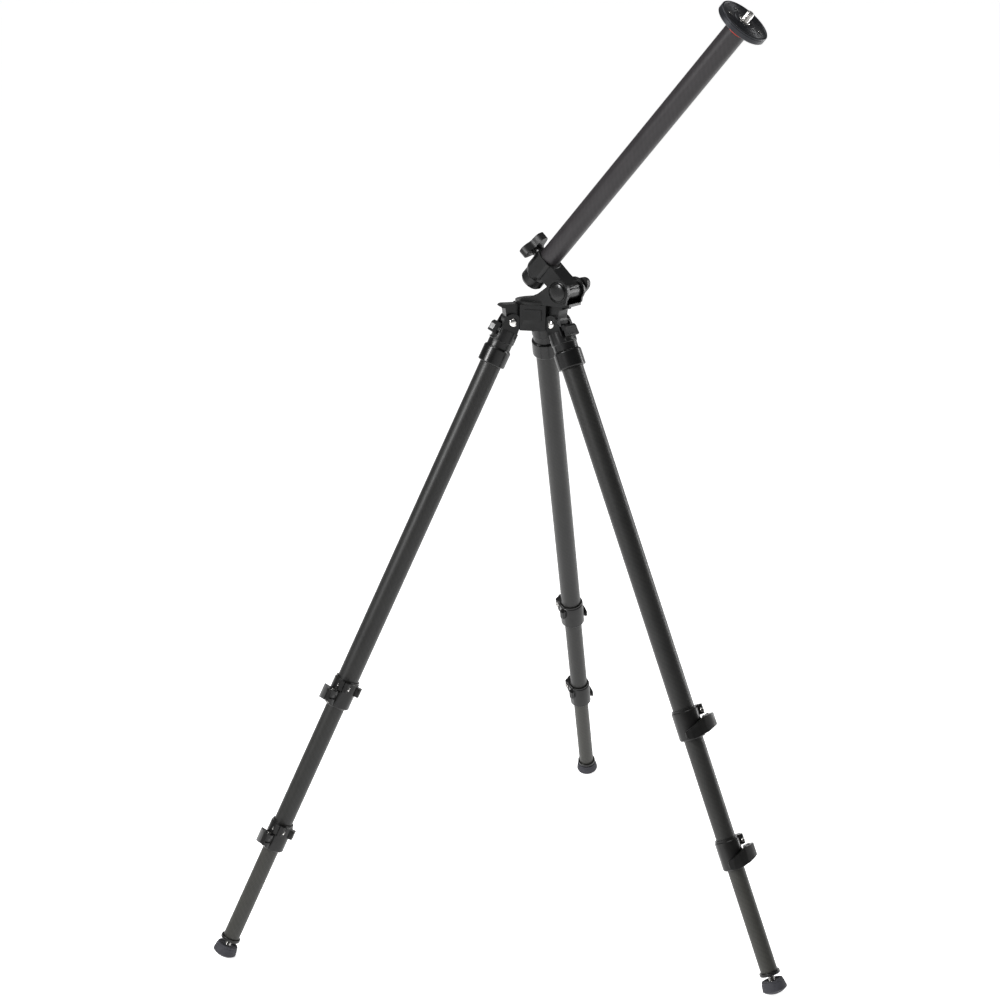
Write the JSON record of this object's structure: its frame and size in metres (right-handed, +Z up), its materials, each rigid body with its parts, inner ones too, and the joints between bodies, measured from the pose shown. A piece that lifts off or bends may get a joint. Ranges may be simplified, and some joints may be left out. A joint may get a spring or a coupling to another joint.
{
  "type": "camera tripod",
  "caption": "Camera tripod with telescoping carbon-fibre legs, flip locks, a turning and tilting side column and a round head plate with a screw stud.",
  "frame": {"origin": "centre of the bounding box on the floor plane that the three feet stand on", "axes": "+Z up, the longest extent; the column leans towards +X and -Y, and the rear leg points towards +Y"},
  "size_m": [0.7478, 0.7044, 1.1902],
  "materials": {
    "carbon_tube": "satin woven carbon fibre",
    "gloss_black": "gloss",
    "rubber": "matte",
    "bright_steel": "bright",
    "accent_red": "satin anodised",
    "anodised_black": "satin anodised, turned",
    "knob_black": "satin",
    "satin_black_casting": "satin paint on a die casting"
  },
  "bodies": {
    "hub": {"hub_casting": "satin_black_casting", "pivot_bolt_a": "bright_steel", "pivot_bolt_b": "bright_steel", "pivot_bolt_c": "bright_steel"},
    "pan_base": {"yoke": "satin_black_casting", "tilt_axle": "bright_steel", "tilt_cap": "satin_black_casting"},
    "tilt_knob": {"tilt_knob": "knob_black"},
    "column_clamp": {"column_clamp": "satin_black_casting"},
    "column_knob": {"column_knob": "knob_black"},
    "column": {"column_tube": "carbon_tube", "column_stop": "knob_black", "accent_ring": "accent_red", "head_plate": "anodised_black", "head_stud": "bright_steel", "plate_screw_1": "bright_steel", "plate_screw_2": "bright_steel", "plate_screw_3": "bright_steel"},
    "leg_a": {"leg_head_a": "satin_black_casting", "leg_collar_a": "gloss_black", "upper_tube_a": "carbon_tube", "upper_lock_collar_a": "satin_black_casting"},
    "pull_tab_a": {"pull_tab_a": "gloss_black"},
    "upper_lever_a": {"upper_lock_lever_a": "satin_black_casting"},
    "middle_a": {"middle_tube_a": "carbon_tube", "lower_lock_collar_a": "satin_black_casting"},
    "lower_lever_a": {"lower_lock_lever_a": "satin_black_casting"},
    "lower_a": {"lower_tube_a": "carbon_tube", "tube_end_a": "satin_black_casting"},
    "foot_a": {"foot_shaft_a": "bright_steel", "foot_rubber_a": "rubber"},
    "leg_b": {"leg_head_b": "satin_black_casting", "leg_collar_b": "gloss_black", "upper_tube_b": "carbon_tube", "upper_lock_collar_b": "satin_black_casting"},
    "pull_tab_b": {"pull_tab_b": "gloss_black"},
    "upper_lever_b": {"upper_lock_lever_b": "satin_black_casting"},
    "middle_b": {"middle_tube_b": "carbon_tube", "lower_lock_collar_b": "satin_black_casting"},
    "lower_lever_b": {"lower_lock_lever_b": "satin_black_casting"},
    "lower_b": {"lower_tube_b": "carbon_tube", "tube_end_b": "satin_black_casting"},
    "foot_b": {"foot_shaft_b": "bright_steel", "foot_rubber_b": "rubber"},
    "leg_c": {"leg_head_c": "satin_black_casting", "leg_collar_c": "gloss_black", "upper_tube_c": "carbon_tube", "upper_lock_collar_c": "satin_black_casting"},
    "pull_tab_c": {"pull_tab_c": "gloss_black"},
    "upper_lever_c": {"upper_lock_lever_c": "satin_black_casting"},
    "middle_c": {"middle_tube_c": "carbon_tube", "lower_lock_collar_c": "satin_black_casting"},
    "lower_lever_c": {"lower_lock_lever_c": "satin_black_casting"},
    "lower_c": {"lower_tube_c": "carbon_tube", "tube_end_c": "satin_black_casting"},
    "foot_c": {"foot_shaft_c": "bright_steel", "foot_rubber_c": "rubber"}
  },
  "joints": [
    {"name": "pan_turn", "type": "hinge", "parent": "hub", "child": "pan_base", "pos_m": [0.10082, -0.03553, 0.87913], "axis": [0.0597, 0.0253, 0.9979], "continuous": true},
    {"name": "column_tilt", "type": "hinge", "parent": "pan_base", "child": "column_clamp", "pos_m": [0.13518, -0.06285, 0.84409], "axis": [0.5861, 0.8083, -0.0556], "range_deg": [-42, 48]},
    {"name": "column_slide", "type": "slide", "parent": "column_clamp", "child": "column", "axis": [0.585, -0.3748, 0.7192], "range_m": [-0.012, 0]},
    {"name": "column_knob_turn", "type": "hinge", "parent": "column_clamp", "child": "column_knob", "pos_m": [0.10245, -0.03584, 0.89174], "axis": [-0.5605, 0.454, 0.6926], "range_deg": [0, 360]},
    {"name": "tilt_knob_turn", "type": "hinge", "parent": "pan_base", "child": "tilt_knob", "pos_m": [0.14655, -0.04717, 0.84301], "axis": [0.5861, 0.8083, -0.0556], "range_deg": [0, 360]},
    {"name": "leg_swing_a", "type": "hinge", "parent": "hub", "child": "leg_a", "pos_m": [0.06219, -0.04769, 0.80611], "axis": [-0.2882, 0.9575, -0.007], "range_deg": [-25.3, 0]},
    {"name": "pull_tab_slide_a", "type": "slide", "parent": "leg_a", "child": "pull_tab_a", "axis": [-0.4627, -0.1457, -0.8745], "range_m": [0, 0.004], "stiffness_N_per_m": 300, "springref_m": -0.003},
    {"name": "upper_lever_flip_a", "type": "hinge", "parent": "leg_a", "child": "upper_lever_a", "pos_m": [-0.18346, -0.14334, 0.37167], "axis": [0.4627, 0.1457, 0.8745], "range_deg": [0, 100]},
    {"name": "middle_slide_a", "type": "slide", "parent": "leg_a", "child": "middle_a", "axis": [-0.4627, -0.1457, -0.8745], "range_m": [-0.1705, 0.28]},
    {"name": "lower_lever_flip_a", "type": "hinge", "parent": "middle_a", "child": "lower_lever_a", "pos_m": [-0.27972, -0.17204, 0.18712], "axis": [0.4627, 0.1457, 0.8745], "range_deg": [0, 100]},
    {"name": "lower_slide_a", "type": "slide", "parent": "middle_a", "child": "lower_a", "axis": [-0.4627, -0.1457, -0.8745], "range_m": [-0.1312, 0.318]},
    {"name": "foot_screw_a", "type": "slide", "parent": "lower_a", "child": "foot_a", "axis": [-0.4627, -0.1457, -0.8745], "range_m": [-0.006, 0.004]},
    {"name": "leg_swing_b", "type": "hinge", "parent": "hub", "child": "leg_b", "pos_m": [0.12229, -0.06192, 0.80287], "axis": [-0.6835, -0.7275, 0.0593], "range_deg": [-25.3, 0]},
    {"name": "pull_tab_slide_b", "type": "slide", "parent": "leg_b", "child": "pull_tab_b", "axis": [0.2571, -0.3161, -0.9132], "range_m": [0, 0.004], "stiffness_N_per_m": 300, "springref_m": -0.003},
    {"name": "upper_lever_flip_b", "type": "hinge", "parent": "leg_b", "child": "upper_lever_b", "pos_m": [0.2779, -0.22102, 0.34603], "axis": [-0.2571, 0.3161, 0.9132], "range_deg": [0, 100]},
    {"name": "middle_slide_b", "type": "slide", "parent": "leg_b", "child": "middle_b", "axis": [0.2571, -0.3161, -0.9132], "range_m": [-0.129, 0.32]},
    {"name": "lower_lever_flip_b", "type": "hinge", "parent": "middle_b", "child": "lower_lever_b", "pos_m": [0.31904, -0.27443, 0.19148], "axis": [-0.2571, 0.3161, 0.9132], "range_deg": [0, 100]},
    {"name": "lower_slide_b", "type": "slide", "parent": "middle_b", "child": "lower_b", "axis": [0.2571, -0.3161, -0.9132], "range_m": [-0.1312, 0.318]},
    {"name": "foot_screw_b", "type": "slide", "parent": "lower_b", "child": "foot_b", "axis": [0.2571, -0.3161, -0.9132], "range_m": [-0.006, 0.004]},
    {"name": "leg_swing_c", "type": "hinge", "parent": "hub", "child": "leg_c", "pos_m": [0.10446, -0.0027, 0.80244], "axis": [0.9718, -0.23, -0.0523], "range_deg": [-25.3, 0]},
    {"name": "pull_tab_slide_c", "type": "slide", "parent": "leg_c", "child": "pull_tab_c", "axis": [0.0436, 0.3932, -0.9184], "range_m": [0, 0.004], "stiffness_N_per_m": 300, "springref_m": -0.003},
    {"name": "upper_lever_flip_c", "type": "hinge", "parent": "leg_c", "child": "upper_lever_c", "pos_m": [0.11378, 0.21786, 0.34473], "axis": [-0.0436, -0.3932, 0.9184], "range_deg": [0, 100]},
    {"name": "middle_slide_c", "type": "slide", "parent": "leg_c", "child": "middle_c", "axis": [0.0436, 0.3932, -0.9184], "range_m": [-0.129, 0.32]},
    {"name": "lower_lever_flip_c", "type": "hinge", "parent": "middle_c", "child": "lower_lever_c", "pos_m": [0.12227, 0.2823, 0.18914], "axis": [-0.0436, -0.3932, 0.9184], "range_deg": [0, 100]},
    {"name": "lower_slide_c", "type": "slide", "parent": "middle_c", "child": "lower_c", "axis": [0.0436, 0.3932, -0.9184], "range_m": [-0.1312, 0.318]},
    {"name": "foot_screw_c", "type": "slide", "parent": "lower_c", "child": "foot_c", "axis": [0.0436, 0.3932, -0.9184], "range_m": [-0.001, 0.006]}
  ]
}
